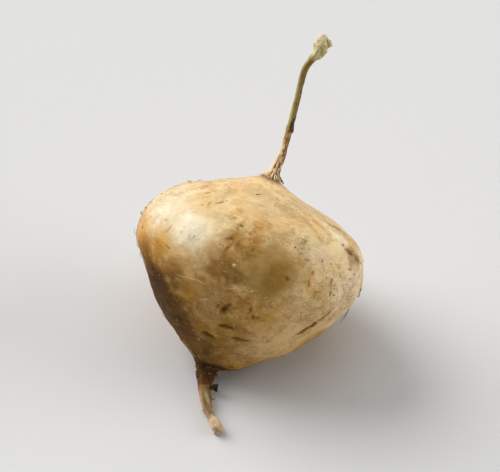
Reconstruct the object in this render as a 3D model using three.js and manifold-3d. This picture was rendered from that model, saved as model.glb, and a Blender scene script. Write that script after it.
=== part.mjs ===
// A jicama (yam bean) root as it lies on a table: one swollen storage root that runs out into its
// thin taproot, and the dry stub of vine that it grew on.
//
// Millimetres, +Z up, the table at Z = 0. The origin is the middle of the small flat spot that the
// root rests on. The root leans on its cone-shaped flank: its crown points up, back (+Y) and to the
// right (+X), and its tail bends to run forward (-Y) along the table.

import * as THREE from "three";
import { mergeVertices } from "three/addons/utils/BufferGeometryUtils.js";
import Module from "manifold-3d";

// ---- driving dimensions --------------------------------------------------------------------------

const BODY_HEIGHT = 91; // from the crown to the point of the cone, where the tail begins
const LEAN = 46.3; // degrees between the root's axis and the table
const HEADING = 29; // degrees that the crown is turned from +Y towards +X
const DEPTH_SHARE = 0.965; // the body is a little flatter from front to back than from side to side
const BODY_MIDDLE = 38; // distance below the crown of the point that swellings push away from
const APEX = [-20, -29.7, 5.6]; // where the cone ends and the tail begins
const CROWN_GAP = 0.3; // between the crown's scar and the foot of the vine

// Down the body and along the tail: radius, distance below the crown, and how far the ring stands to
// the right of the line from crown to tail, because the root is lopsided.
const ROOT_PROFILE = [
  [0, 0, 0],
  [2.6, 0.2, 0],
  [4.8, 1.5, 0],
  [10.6, 4.2, 0.2],
  [17.5, 6.6, 0.7],
  [26.2, 9.3, 3.6],
  [33.1, 12.3, 5.1],
  [39.1, 15.1, 5.3],
  [43.4, 18.6, 4.8],
  [46.8, 22.4, 4.1],
  [50.4, 30, 3],
  [51.2, 37.5, 2.1],
  [49.7, 45, 1.7],
  [46.2, 51.3, 1.7],
  [41.4, 58.2, 2.1],
  [34.2, 67.4, 2.4],
  [27.4, 73.7, 2.9],
  [19.5, 79.5, 3],
  [12.9, 84.4, 2.7],
  [8, 87.8, 2.4],
  [5.2, 90.8, 1.6],
  [4.2, 93.5, 0.9],
  [3.6, 96.5, 0.4],
  [2.95, 99.5, 0.1],
  [2.65, 103, 0],
  [2.4, 107, 0],
  [2.1, 111, 0],
  [1.85, 114.5, 0],
  [1.85, 117.5, 0],
  [2.15, 120.5, 0],
  [2.35, 123.3, 0],
  [2.4, 125.6, 0],
  [1.9, 127.3, 0],
  [1.1, 128.4, 0],
  [0, 128.7, 0],
];

// Broad swellings (and dents, where the height is negative) of the body: distance below the crown,
// degrees round the axis from +X towards the front, spread and height.
const SWELLINGS = [
  [59, 182, 8, -1.6], // the left flank dips in
  [30, 130, 14, 0.9], // front left bulge
  [38, 68, 12, -1.2], // shallow dent in the front
  [26, 300, 18, 1.4], // back right
  [48, 232, 16, 0.9], // back left, low down
];

// The tail's middle line, from the point of the cone to its torn end.
const TAIL_LINE = [
  [0.5, -4.5, -0.8],
  [0.5, -9.8, -1.6],
  [1.1, -15.7, -2.4],
  [2, -21.2, -3.05],
  [3.6, -26.2, -3.2],
  [5.4, -30.4, -3.1],
  [6.2, -33.5, -3],
  [6.3, -37, -3.1],
];

// The vine's middle line from the crown, and its radius at distances along it.
const VINE_LINE = [
  [0, 0, 0],
  [1.5, 2.1, 2.9],
  [3.6, 5, 6.2],
  [5.9, 9.2, 12.4],
  [7.6, 12.1, 17.4],
  [9.2, 16.2, 22.6],
  [11, 20.8, 27.8],
  [12.3, 24.9, 32],
  [14.2, 28.3, 37.2],
  [17, 29.8, 41.4],
  [19.9, 30.6, 44.4],
  [21.5, 32.8, 47.5],
  [21.9, 36, 51.4],
];
const VINE_PROFILE = [
  [0, 0],
  [3.3, 0.1],
  [3.1, 1.4],
  [2.5, 4.5],
  [2.1, 10],
  [1.8, 17],
  [2.1, 21.5], // the lower node
  [1.7, 25],
  [1.4, 36],
  [1.45, 44],
  [1.5, 50],
  [1.6, 54],
  [2.3, 57],
  [3.2, 59.8],
  [3.3, 62], // the upper node, just below where the vine was cut
  [2.6, 64.6],
  [1.9, 66.6],
  [1.7, 67.8],
  [0, 68.1],
];
const SHOOT_AT = 61; // a cut side shoot on the upper node: distance along the vine,
const SHOOT_HEADING = [0.85, 0.2, 0.45]; // its direction,
const SHOOT_LENGTH = 5; // its length from the vine's middle line
const SHOOT_RADIUS = 1.7; // and its radius

const ROOT_SIDES = 48;
const ROOT_RINGS = 58;
const VINE_SIDES = 14;
const VINE_RINGS = 36;
const SHOOT_SIDES = 10;

const ROOT_SKIN = new THREE.MeshStandardMaterial({ color: 0xc9a46b, roughness: 0.6, metalness: 0 });
const VINE_BARK = new THREE.MeshStandardMaterial({ color: 0x84703f, roughness: 0.8, metalness: 0 });

// ---- shapes --------------------------------------------------------------------------------------

const vector = ([x, y, z]) => new THREE.Vector3(x, y, z);
const radians = THREE.MathUtils.degToRad;
const UP = new THREE.Vector3(0, 1, 0); // the axis of a lathe

// A closed lathe of a smooth profile, with distance along the stem on its Y axis and each ring
// moved to the right (+Z) by the third number of the profile.
function turned(profile, rings, sides) {
  const curve = new THREE.CatmullRomCurve3(profile.map(([r, y, shift = 0]) => vector([r, y, shift])));
  const points = curve.getSpacedPoints(rings);
  points[0].x = points[rings].x = 0;
  const geometry = new THREE.LatheGeometry(points, sides);
  const position = geometry.getAttribute("position");
  for (let i = 0; i < position.count; i++) {
    position.setZ(i, position.getZ(i) + points[i % points.length].z);
  }
  return geometry;
}

// The radius of a profile at a distance along it, from the two points on either side.
function radiusAt(profile, distance) {
  const next = profile.findIndex(([, y]) => y >= distance);
  const [r0, y0] = profile[Math.max(next - 1, 0)];
  const [r1, y1] = profile[next];
  return y1 === y0 ? r1 : THREE.MathUtils.mapLinear(distance, y0, y1, r0, r1);
}

// Pushes the points of an upright body in or out round each swelling.
function swell(geometry) {
  const middle = new THREE.Vector3(0, BODY_MIDDLE, 0);
  const centres = SWELLINGS.map(([below, turn, spread, height]) => {
    const radius = radiusAt(ROOT_PROFILE, below);
    const angle = radians(turn);
    const at = new THREE.Vector3(radius * Math.sin(angle), below, radius * Math.cos(angle));
    return { at, spread, height };
  });
  const position = geometry.getAttribute("position");
  const point = new THREE.Vector3();
  for (let i = 0; i < position.count; i++) {
    point.fromBufferAttribute(position, i);
    let push = 0;
    for (const { at, spread, height } of centres) {
      push += height * Math.exp(-point.distanceToSquared(at) / (2 * spread * spread));
    }
    const outwards = point.clone().sub(middle).normalize();
    point.addScaledVector(outwards, push);
    position.setXYZ(i, point.x * DEPTH_SHARE, point.y, point.z);
  }
  return geometry;
}

// Bends a lathe so that its Y axis follows a curve. Its Z axis turns to the right (+X) and its X axis
// to the front.
function bent(geometry, curve) {
  const length = curve.getLength();
  const position = geometry.getAttribute("position");
  for (let i = 0; i < position.count; i++) {
    const share = THREE.MathUtils.clamp(position.getY(i) / length, 0, 1);
    const along = curve.getTangentAt(share);
    const right = new THREE.Vector3(1, 0, 0);
    right.addScaledVector(along, -right.dot(along)).normalize();
    const front = new THREE.Vector3().crossVectors(along, right);
    const point = curve.getPointAt(share);
    point.addScaledVector(front, position.getX(i)).addScaledVector(right, position.getZ(i));
    position.setXYZ(i, point.x, point.y, point.z);
  }
  return geometry;
}

// ---- booleans ------------------------------------------------------------------------------------

const wasm = await Module();
wasm.setup();

function solidOf(geometry) {
  const bare = geometry.clone();
  bare.deleteAttribute("normal");
  bare.deleteAttribute("uv");
  const merged = mergeVertices(bare, 1e-3);
  const vertProperties = merged.getAttribute("position").array;
  const triVerts = new Uint32Array(merged.index.array);
  return new wasm.Manifold(new wasm.Mesh({ numProp: 3, vertProperties, triVerts }));
}

function geometryOf(solid) {
  const mesh = solid.getMesh();
  const geometry = new THREE.BufferGeometry();
  geometry.setAttribute("position", new THREE.BufferAttribute(mesh.vertProperties, 3));
  geometry.setIndex(new THREE.BufferAttribute(mesh.triVerts, 1));
  geometry.computeVertexNormals();
  return geometry;
}

// ---- the two pieces ------------------------------------------------------------------------------

const axis = new THREE.Vector3(
  Math.cos(radians(LEAN)) * Math.sin(radians(HEADING)),
  Math.cos(radians(LEAN)) * Math.cos(radians(HEADING)),
  Math.sin(radians(LEAN)),
);
const apex = vector(APEX);
const crown = apex.clone().addScaledVector(axis, BODY_HEIGHT);

// The storage root with its tail, cut flat where it rests on the table.
function jicamaRoot() {
  const upTheAxis = [BODY_HEIGHT, 72, 54, 36, 20, 9, 1.5].map((up) =>
    apex.clone().addScaledVector(axis, up),
  );
  const downTheTail = TAIL_LINE.map((offset) => apex.clone().add(vector(offset)));
  const spine = new THREE.CatmullRomCurve3([...upTheAxis, ...downTheTail]);
  const whole = solidOf(bent(swell(turned(ROOT_PROFILE, ROOT_RINGS, ROOT_SIDES)), spine));
  const tableDepth = 20;
  const table = new THREE.BoxGeometry(300, 300, tableDepth).translate(0, 0, -tableDepth / 2);
  return new THREE.Mesh(geometryOf(whole.subtract(solidOf(table))), ROOT_SKIN);
}

// The stub of vine, which stands on the crown's scar, with the stump of a side shoot.
function vineStub() {
  const foot = crown.clone().addScaledVector(axis, CROWN_GAP);
  const line = VINE_LINE.map((offset) => foot.clone().add(vector(offset)));
  const spine = new THREE.CatmullRomCurve3(line);
  const stem = solidOf(bent(turned(VINE_PROFILE, VINE_RINGS, VINE_SIDES), spine));
  const heading = vector(SHOOT_HEADING).normalize();
  const base = spine.getPointAt(SHOOT_AT / spine.getLength());
  const outline = [
    [0, 0],
    [SHOOT_RADIUS, 0],
    [SHOOT_RADIUS * 0.9, SHOOT_LENGTH],
    [0, SHOOT_LENGTH + 0.3],
  ];
  const shoot = new THREE.LatheGeometry(outline.map(([r, y]) => new THREE.Vector2(r, y)), SHOOT_SIDES);
  shoot.applyQuaternion(new THREE.Quaternion().setFromUnitVectors(UP, heading));
  shoot.translate(base.x, base.y, base.z);
  return new THREE.Mesh(geometryOf(stem.add(solidOf(shoot))), VINE_BARK);
}

const jicama = new THREE.Group();
const root = jicamaRoot();
root.name = "jicama_root";
const vine = vineStub();
vine.name = "vine_stub";
jicama.add(root, vine);

export default jicama;
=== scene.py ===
"""A whole jicama root on a pale floor, in Blender.

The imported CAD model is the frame. Its root is replaced by a fine skin of the same shape, whose slits,
scars, wrinkles and rubbed patches are raised in the mesh, and its vine by a ridged, knotted one. Skin
flakes, rootlets, fibres and crumbs of soil are pieces of their own.

Sizes are in millimetres until a mesh is made. A place on the root is given as its distance below the
crown and its turn round the root's axis, in degrees from the right-hand side towards the front.
"""

import math
import random

import bpy
import numpy as np
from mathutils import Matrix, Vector, geometry, noise


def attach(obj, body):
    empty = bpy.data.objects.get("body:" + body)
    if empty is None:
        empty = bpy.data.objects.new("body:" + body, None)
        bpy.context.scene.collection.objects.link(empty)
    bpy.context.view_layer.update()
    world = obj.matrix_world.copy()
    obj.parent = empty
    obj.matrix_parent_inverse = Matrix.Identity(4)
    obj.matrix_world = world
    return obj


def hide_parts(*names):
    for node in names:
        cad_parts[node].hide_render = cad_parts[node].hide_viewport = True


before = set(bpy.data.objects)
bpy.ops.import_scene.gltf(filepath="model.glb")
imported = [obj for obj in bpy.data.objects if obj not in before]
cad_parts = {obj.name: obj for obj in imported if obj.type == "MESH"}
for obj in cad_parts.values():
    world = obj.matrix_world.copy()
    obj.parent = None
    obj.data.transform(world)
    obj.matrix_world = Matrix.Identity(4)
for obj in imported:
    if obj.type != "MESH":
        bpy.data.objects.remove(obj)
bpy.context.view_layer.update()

MM = 0.001

# ---- the root's shape, as the CAD part states it --------------------------------------------------

BODY_HEIGHT = 91  # from the apex to the crown
LEAN = math.radians(46.3)  # of the axis above the table
HEADING = math.radians(29)  # of the axis, from straight back towards the right
DEPTH_SHARE = 0.965  # the root is a little flatter from front to back
BODY_MIDDLE = 38  # distance below the crown of the point that swellings push away from
APEX = np.array([-20, -29.7, 5.6])  # where the body's axis ends and the tail's line begins
CROWN_GAP = 0.3  # between the crown and the foot of the vine
SPINE_STATIONS = (0, 19, 37, 55, 71, 82, 89.5)  # distances below the crown where the body's spine is set

# Radius, distance below the crown, and shift to the right.
ROOT_PROFILE = [
    (0, 0, 0), (2.6, 0.2, 0), (4.8, 1.5, 0), (10.6, 4.2, 0.2), (17.5, 6.6, 0.7), (26.2, 9.3, 3.6),
    (33.1, 12.3, 5.1), (39.1, 15.1, 5.3), (43.4, 18.6, 4.8), (46.8, 22.4, 4.1), (50.4, 30, 3),
    (51.2, 37.5, 2.1), (49.7, 45, 1.7), (46.2, 51.3, 1.7), (41.4, 58.2, 2.1), (34.2, 67.4, 2.4),
    (27.4, 73.7, 2.9), (19.5, 79.5, 3), (12.9, 84.4, 2.7), (8, 87.8, 2.4), (5.2, 90.8, 1.6),
    (4.2, 93.5, 0.9), (3.6, 96.5, 0.4), (2.95, 99.5, 0.1), (2.65, 103, 0), (2.4, 107, 0),
    (2.1, 111, 0), (1.85, 114.5, 0), (1.85, 117.5, 0), (2.15, 120.5, 0), (2.35, 123.3, 0),
    (2.4, 125.6, 0), (1.9, 127.3, 0), (1.1, 128.4, 0), (0, 128.7, 0),
]

# Distance below the crown, turn, spread and height of each broad swelling or dent.
SWELLINGS = [
    (59, 182, 8, -1.6), (30, 130, 14, 0.9), (38, 68, 12, -1.2), (26, 300, 18, 1.4), (48, 232, 16, 0.9),
]

# The tail's middle line from the apex, and the vine's from its foot on the crown.
TAIL_LINE = [
    (0.5, -4.5, -0.8), (0.5, -9.8, -1.6), (1.1, -15.7, -2.4), (2, -21.2, -3.05), (3.6, -26.2, -3.2),
    (5.4, -30.4, -3.1), (6.2, -33.5, -3), (6.3, -37, -3.1),
]
VINE_LINE = [
    (0, 0, 0), (1.5, 2.1, 2.9), (3.6, 5, 6.2), (5.9, 9.2, 12.4), (7.6, 12.1, 17.4),
    (9.2, 16.2, 22.6), (11, 20.8, 27.8), (12.3, 24.9, 32), (14.2, 28.3, 37.2), (17, 29.8, 41.4),
    (19.9, 30.6, 44.4), (21.5, 32.8, 47.5), (21.9, 36, 51.4),
]

AXIS = np.array([
    math.cos(LEAN) * math.sin(HEADING),
    math.cos(LEAN) * math.cos(HEADING),
    math.sin(LEAN),
])
CROWN = APEX + BODY_HEIGHT * AXIS
RIGHT = np.array([1.0, 0, 0]) - AXIS[0] * AXIS
RIGHT /= np.linalg.norm(RIGHT)
FRONT = np.cross(RIGHT, AXIS)

SKIN_STEP = 0.62  # between the rings of the skin mesh
TAIL_STEP = 0.4
NECK = 88  # distance below the crown where the finer rings of the tail begin
RING_SIDES = [416, 208, 104, 52]
LONGEST_SIDE = 0.8  # a ring has the fewest sides that are no longer than this

# ---- curves, noise and colours --------------------------------------------------------------------


def through(points, per_span=16):
    """A smooth curve through the points, as a fine polyline."""
    p = [Vector(q) for q in points]
    p = [2 * p[0] - p[1], *p, 2 * p[-1] - p[-2]]
    line = []
    for a, b, c, d in zip(p, p[1:], p[2:], p[3:]):
        span = geometry.interpolate_bezier(b, b + (c - a) / 6, c - (d - b) / 6, c, per_span + 1)
        line += span[:-1]
    return np.array([*line, p[-2]])


def lengths(line):
    """Distance along a polyline at each of its points."""
    steps = np.linalg.norm(np.diff(line, axis=0), axis=1)
    return np.concatenate([[0], np.cumsum(steps)])


def at(line, distances, known=None):
    """Values of a polyline at distances along it, or along the line whose distances are `known`."""
    known = lengths(line) if known is None else known
    return np.stack([np.interp(distances, known, column) for column in line.T], axis=-1)


def unit(vectors):
    return vectors / np.maximum(np.linalg.norm(vectors, axis=-1, keepdims=True), 1e-9)


SEED_SHIFT = 17.3
NOISE_ORIGIN = 3.1
FRACTAL_INCREMENT = 0.9
LACUNARITY = 2.1


def wander(points, size, octaves, seed):
    """Smooth noise of about -1 to 1, with lumps `size` mm across."""
    shifted = np.asarray(points) / size + SEED_SHIFT * seed + NOISE_ORIGIN
    return np.array([noise.fractal(p, FRACTAL_INCREMENT, LACUNARITY, octaves) for p in shifted.tolist()])


def step(low, high, values):
    """0 before low, 1 past high and smooth between them. Low may be the larger of the two."""
    share = np.clip((values - low) / (high - low), 0, 1)
    return share * share * (3 - 2 * share)


def bell(values, middle, reach):
    """A smooth bump: 1 at the middle and about a third of that at its reach to each side."""
    return np.exp(-(((values - middle) / reach) ** 2))


def even_turns(count):
    """Angles evenly spaced all the way round."""
    return np.linspace(0, 2 * math.pi, count, endpoint=False)


def outward(turn):
    """The way out from the root's axis at a turn in degrees."""
    return RIGHT * math.cos(math.radians(turn)) + FRONT * math.sin(math.radians(turn))


def srgb(red, green, blue):
    """Linear colour of an sRGB one of 0 to 255."""
    return tuple(((c / 255 + 0.055) / 1.055) ** 2.4 if c > 10 else c / 3295 for c in (red, green, blue))


def layered(base, *layers):
    """Colours at points, from a base colour and (mask, colour) layers over it."""
    colours = np.tile(np.array(base), (len(layers[0][0]), 1))
    for mask, hue in layers:
        colours += np.clip(mask, 0, 1)[:, None] * (np.array(hue) - colours)
    return colours


# ---- meshes ---------------------------------------------------------------------------------------


class Build:
    """Collects points in millimetres and faces, with a colour at each point."""

    def __init__(self):
        self.points, self.faces, self.tints = [], [], []

    def add(self, points, faces, tint):
        start = len(self.points)
        self.points += [tuple(p) for p in points]
        self.faces += [tuple(start + i for i in face) for face in faces]
        tints = np.broadcast_to(tint, (len(points), 3))
        self.tints += [tuple(t) for t in tints]

    def piece(self, name, material, slot):
        """Makes the object, with every point kept at or above the table."""
        mesh = bpy.data.meshes.new(name)
        above_table = [(x, y, max(z, 0)) for x, y, z in self.points]
        mesh.from_pydata([[c * MM for c in p] for p in above_table], [], self.faces)
        mesh.validate()
        paint(mesh, "tint", self.tints)
        finish_mesh(mesh, material)
        return place(mesh, name, slot)


def paint(mesh, name, colours):
    layer = mesh.color_attributes.new(name, "FLOAT_COLOR", "POINT")
    rgba = np.ones((len(mesh.vertices), 4))
    rgba[:, :3] = colours
    layer.data.foreach_set("color", rgba.ravel())


def weigh(mesh, name, values):
    layer = mesh.attributes.new(name, "FLOAT", "POINT")
    layer.data.foreach_set("value", np.asarray(values, dtype=np.float32))


def finish_mesh(mesh, material):
    mesh.materials.append(material)
    mesh.polygons.foreach_set("use_smooth", [True] * len(mesh.polygons))
    mesh.update()


def add_object(name, data):
    new = bpy.data.objects.new(name, data)
    bpy.context.collection.objects.link(new)
    return new


def place(mesh, name, slot):
    """Adds a piece that rides on the root."""
    piece = add_object(name, mesh)
    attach(piece, "root")
    return piece


def normals(mesh):
    flat = np.empty(len(mesh.vertices) * 3, dtype=np.float32)
    mesh.vertices.foreach_get("normal", flat)
    return flat.reshape(-1, 3).astype(float)


def pairs(ring):
    """Each point number of a ring with the next one, all the way round."""
    return list(zip(ring, [*ring[1:], ring[0]]))


def rings_joined(rings):
    """Faces between rings of point numbers. A ring may have half or twice the sides of the next."""
    faces = []
    for upper, lower in zip(rings, rings[1:]):
        flip = len(upper) < len(lower)
        many, few = (lower, upper) if flip else (upper, lower)
        if len(many) == len(few):
            fan = [(a, here, then, b) for (a, b), (here, then) in zip(pairs(many), pairs(few))]
        else:
            fan = []
            for (here, then), a, b, c in zip(pairs(few), many[::2], many[1::2], [*many[2::2], many[0]]):
                fan += [(a, here, b), (b, here, then), (b, then, c)]
        faces += [face[::-1] for face in fan] if flip else fan
    return faces


def tube(line, radii, sides, twist=0.0):
    """Points and faces of a closed tube along a polyline, with a radius per ring or per point."""
    along = unit(np.gradient(line, axis=0))
    side = np.zeros_like(line)
    side[0] = unit(np.cross(along[0], [0.31, 0.17, 0.93]))
    for i in range(1, len(line)):
        side[i] = unit(side[i - 1] - along[i] * (side[i - 1] @ along[i]))
    other = np.cross(along, side)
    turn = even_turns(sides)
    radii = np.asarray(radii, dtype=float)
    radii = np.broadcast_to(radii if radii.ndim == 2 else radii.reshape(-1, 1), (len(line), sides))
    points, rings = [], []
    for i, middle in enumerate(line):
        angle = turn + twist * i
        ring = np.outer(np.cos(angle), side[i]) + np.outer(np.sin(angle), other[i])
        rings.append(range(len(points), len(points) + sides))
        points += list(middle + radii[i][:, None] * ring)
    first, last = len(points), len(points) + 1
    points += [line[0], line[-1]]
    faces = rings_joined(rings)
    faces += [(first, a, b) for a, b in pairs(rings[0])]
    faces += [(last, b, a) for a, b in pairs(rings[-1])]
    return np.array(points), [face[::-1] for face in faces]


# ---- the skin's own shape -------------------------------------------------------------------------


def root_rings():
    """The upright root's smooth points, and the point numbers of its rings.

    A point is its place to the front, its distance below the crown and its place to the right.
    """
    fine = through(ROOT_PROFILE)
    known = lengths(fine)
    neck_at = np.interp(NECK, fine[:, 1], known)
    distances = np.concatenate([
        np.arange(0, neck_at, SKIN_STEP),
        np.arange(neck_at, known[-1] - TAIL_STEP / 2, TAIL_STEP),
        [known[-1]],
    ])
    profile = at(fine, distances)
    upright, rings = [], []
    for radius, below, shift in profile:
        if radius < SKIN_STEP / 4:
            sides = 1
        else:
            fits = [n for n in RING_SIDES if 2 * math.pi * radius / n <= LONGEST_SIDE]
            sides = min(fits, default=RING_SIDES[0])
        turn = even_turns(sides)
        start = sum(len(ring) for ring in upright)
        rings.append(list(range(start, start + sides)))
        upright.append(np.stack([
            radius * np.sin(turn),
            np.full(sides, below),
            radius * np.cos(turn) + shift,
        ], axis=1))
    return np.concatenate(upright), rings


def swollen(upright):
    """Pushes points of the upright root in or out round each swelling."""
    push = np.zeros(len(upright))
    table = np.array(ROOT_PROFILE, dtype=float)
    for below, turn, spread, height in SWELLINGS:
        radius = np.interp(below, table[:, 1], table[:, 0])
        angle = math.radians(turn)
        centre = np.array([radius * math.sin(angle), below, radius * math.cos(angle)])
        push += height * np.exp(-((upright - centre) ** 2).sum(axis=1) / (2 * spread**2))
    out = unit(upright - [0, BODY_MIDDLE, 0])
    return (upright + out * push[:, None]) * [DEPTH_SHARE, 1, 1]


def bent(upright):
    """Lays the upright root along its axis and its tail's line."""
    body = [CROWN - AXIS * below for below in SPINE_STATIONS]
    spine = through([*body, *(APEX + np.array(p) for p in TAIL_LINE)])
    along = unit(np.gradient(spine, axis=0))
    known = lengths(spine)
    here = at(spine, upright[:, 1], known)
    heading = unit(at(along, upright[:, 1], known))
    right = unit(np.array([1.0, 0, 0]) - heading[:, :1] * heading)
    front = np.cross(heading, right)
    return here + front * upright[:, :1] + right * upright[:, 2:]


upright, skin_rings = root_rings()
along_root = upright[:, 1]
smooth = bent(swollen(upright))

skin_mesh = bpy.data.meshes.new("skin")
skin_faces = rings_joined([ring for ring in skin_rings if len(ring) > 1])
crown_tip, tail_tip = skin_rings[0][0], skin_rings[-1][0]
skin_faces += [(crown_tip, b, a) for a, b in pairs(skin_rings[1])]
skin_faces += [(a, b, tail_tip) for a, b in pairs(skin_rings[-2])]
skin_mesh.from_pydata((smooth * MM).tolist(), [], [face[::-1] for face in skin_faces])
skin_mesh.update()
smooth_normals = normals(skin_mesh)

from_crown = CROWN - smooth
below_crown = from_crown @ AXIS
turn_round = np.degrees(np.arctan2(-from_crown @ FRONT, -from_crown @ RIGHT)) % 360
on_body = along_root < NECK


def past(low, high, shift=0):
    """0 before the distance low along the root, 1 past high. A shift makes the edge wander."""
    return step(low, high, along_root + shift)


def turns_apart(turns, turn):
    """Degrees between each of the turns and one turn, the short way round."""
    return np.abs((turns - turn + 180) % 360 - 180)


HEIGHT_WEIGHT = 0.7  # what a squared millimetre counts for beside a squared degree
NEVER = 1e6  # keeps points of the tail from being chosen


def nearest(below, turn):
    """The number of the skin point at a place on the body."""
    height_apart = HEIGHT_WEIGHT * (below_crown - below) ** 2
    return int(np.argmin(height_apart + turns_apart(turn_round, turn) ** 2 + NEVER * ~on_body))


def spot(below, turn):
    """The point of the smooth root at a place, its normal, and the ways round and down the root."""
    i = nearest(below, turn)
    normal = smooth_normals[i]
    around = unit(np.cross(normal, AXIS))
    return smooth[i], normal, around, np.cross(normal, around)


def from_place(where, width):
    """How far each skin point is from a place, in halves of a width."""
    return np.linalg.norm(smooth - spot(*where)[0], axis=1) / (width / 2)


# ---- what stands up from the skin and sinks into it ------------------------------------------------

# Corky slits and scars: place, length, width, tilt from level, depth, darkness.
SCARS = [
    # the crown and the shoulder on the left
    (12.8, 108, 3.2, 1, 8, 0.2, 0.5), (12.8, 92, 2.2, 1, -20, 0.15, 0.5),
    (16.9, 128, 2.8, 0.9, 55, 0.15, 0.5), (18.9, 129, 1.8, 0.8, -10, 0.15, 0.45),
    (18.1, 117, 3.4, 1.5, 55, 0.2, 0.6), (21.4, 125, 2, 1, 10, 0.15, 0.45),
    (32.9, 139, 2.2, 1.2, 10, 0.15, 0.5), (35.4, 134, 3.4, 1.3, 70, 0.2, 0.55),
    (29.2, 134, 3, 0.8, 50, 0.12, 0.4), (43.6, 132, 3.2, 1, -30, 0.25, 0.6),
    # above and round the brown patches in the middle
    (23.4, 98, 2.9, 1.3, 0, 0.25, 0.7), (21.6, 103, 1.8, 1, 40, 0.2, 0.5),
    (30.6, 100, 3.4, 1.7, 15, 0.3, 0.75), (31.8, 96, 1.8, 1.2, 60, 0.2, 0.7),
    (34.8, 100, 3.6, 1.4, 65, 0.3, 0.65), (31.9, 88, 3.2, 1.2, 65, 0.25, 0.6),
    (33.8, 86, 2.4, 1, 100, 0.2, 0.55), (38.6, 66, 2, 1.1, 130, 0.25, 0.9),
    (52, 92, 2.6, 1, 20, 0.2, 0.5), (53.5, 80, 4.4, 0.9, -10, 0.2, 0.55),
    # the hooked scar and the ones below it
    (60, 91.5, 4.4, 2.3, 82, 0.5, 1), (57.4, 89.5, 3, 1.6, 60, 0.4, 0.95),
    (59.4, 95.5, 2.6, 0.9, 80, 0.3, 0.7), (57.6, 94, 2.4, 0.9, 10, 0.3, 0.65),
    (56, 76.5, 3, 1, 110, 0.25, 0.8), (59.4, 73, 3.2, 1.2, 120, 0.25, 0.8),
    (58.6, 70.5, 2.4, 0.8, 60, 0.2, 0.6), (66.8, 87.5, 4.4, 1.9, 22, 0.4, 0.95),
    (67, 83.5, 4, 1.5, 18, 0.4, 0.85), (73.2, 101, 4.4, 2.3, 18, 0.5, 1),
    (74, 96.5, 4.2, 2.2, 4, 0.45, 0.95), (70.9, 73, 4.4, 1.8, 18, 0.4, 0.9),
    (70.9, 68, 4.2, 1.5, 22, 0.4, 0.85), (66.8, 72, 2.6, 1.1, 100, 0.25, 0.6),
    (74.9, 143, 4.8, 2.4, 15, 0.5, 1), (63.5, 128, 3.4, 1.6, 60, 0.3, 0.8),
    # the right
    (19.8, 29, 4.4, 2.4, -20, 0.35, 0.8), (21.6, 22, 4.8, 2, -30, 0.3, 0.75),
    (22.6, 17, 2.6, 1.3, 10, 0.2, 0.6), (17.8, 33, 2.4, 1.4, 20, 0.3, 0.6),
    (11.6, 30, 4.6, 2.6, -19, 0.2, 0.6), (12.2, 22, 9, 3.2, -19, 0.2, 0.6),
    (21.4, 62, 2.4, 1.2, 70, 0.2, 0.6), (26.8, 63, 2.4, 0.9, 20, 0.15, 0.55),
    (28.4, 59, 2.8, 1, 10, 0.2, 0.6), (26.9, 50, 2.2, 1.1, 100, 0.2, 0.65),
    (32.9, 55, 2.2, 1.2, 60, 0.2, 0.6), (37.6, 54, 2.6, 1.1, 110, 0.2, 0.65),
    (26.8, 39, 2.2, 1, 30, 0.15, 0.55), (30.5, 37, 1.8, 1, 70, 0.15, 0.6),
    (33.4, 42, 3, 1.2, 110, 0.2, 0.65), (34.9, 39, 2.2, 1, 60, 0.2, 0.55),
    (40.3, 48, 4.6, 0.8, 22, 0.2, 0.6), (39.2, 39, 2.4, 1.2, 100, 0.25, 0.75),
    (43, 44, 3, 1.2, 50, 0.2, 0.6), (78.5, 60, 4, 1.2, 4, 0.3, 0.7),
    # the back and the underside
    (47, 205, 6.5, 2, 5, 0.5, 0.95), (49, 211, 4, 1.4, -12, 0.35, 0.85),
    (66, 240, 7, 1.9, -4, 0.5, 0.95), (33, 262, 5, 2, 20, 0.4, 0.85), (55, 300, 6, 1.8, 0, 0.45, 0.95),
    (57, 307, 4, 1.5, 14, 0.35, 0.9), (25, 318, 4.5, 2.4, -25, 0.4, 0.85),
    (70, 345, 6.5, 1.7, 6, 0.45, 0.95), (15, 215, 3.8, 1.5, 15, 0.3, 0.75),
    (40, 330, 3.6, 1.5, 40, 0.35, 0.8),
]
# Growth cracks: places along the line, width and depth.
CRACKS = [
    ([(61.6, 36), (59.6, 33.6), (57, 33.4), (56, 31.6)], 1.8, 0.4),
    ([(57, 33.6), (55, 31.2), (53.4, 31.6)], 2.5, 0.4),
    ([(53, 32), (50.8, 30), (48.6, 30.6)], 2.0, 0.12),
    ([(50.4, 29.4), (47, 29.8)], 1.4, 0.2),
    ([(36, 236), (39, 238), (42, 243), (46, 245), (49, 251)], 2.2, 0.4),
    ([(80, 200), (78, 208), (77.5, 217), (75.5, 226)], 1.9, 0.35),
    ([(10, 331), (11.5, 324), (14, 320), (15.5, 314)], 2.2, 0.3),
]
# Place and width of the areas where flecks are thick, and of those where the skin is plain and even:
# the sleek left shoulder, the bruise, the top and part of the back.
FLECKED_AREAS = [((42, 30), 46), ((58, 84), 46), ((36, 97), 22), ((17, 114), 13), ((50, 240), 50)]
CALM_AREAS = [((29, 128), 38), ((38, 74), 26), ((13, 100), 26), ((20, 230), 30)]
RANDOM_SLITS = 70
RANDOM_PITS = 110
SKIN_SEED = 11


def oval(points, place_at, long, wide, tilt):
    """How far points are from the middle of an oval mark, where 1 is on the oval."""
    middle, normal, around, down = place_at
    lean = math.radians(tilt)
    off = points - middle
    u = off @ (around * math.cos(lean) + down * math.sin(lean)) / (long / 2)
    v = off @ (down * math.cos(lean) - around * math.sin(lean)) / (wide / 2)
    return np.sqrt(u**2 + v**2 + (off @ normal / long) ** 2)


def from_line(points, line):
    """The least distance of each point from a polyline."""
    least = np.full(len(points), np.inf)
    for a, b in zip(line, line[1:]):
        share = np.clip((points - a) @ (b - a) / ((b - a) @ (b - a)), 0, 1)
        least = np.minimum(least, np.linalg.norm(points - a - share[:, None] * (b - a), axis=1))
    return least


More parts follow.
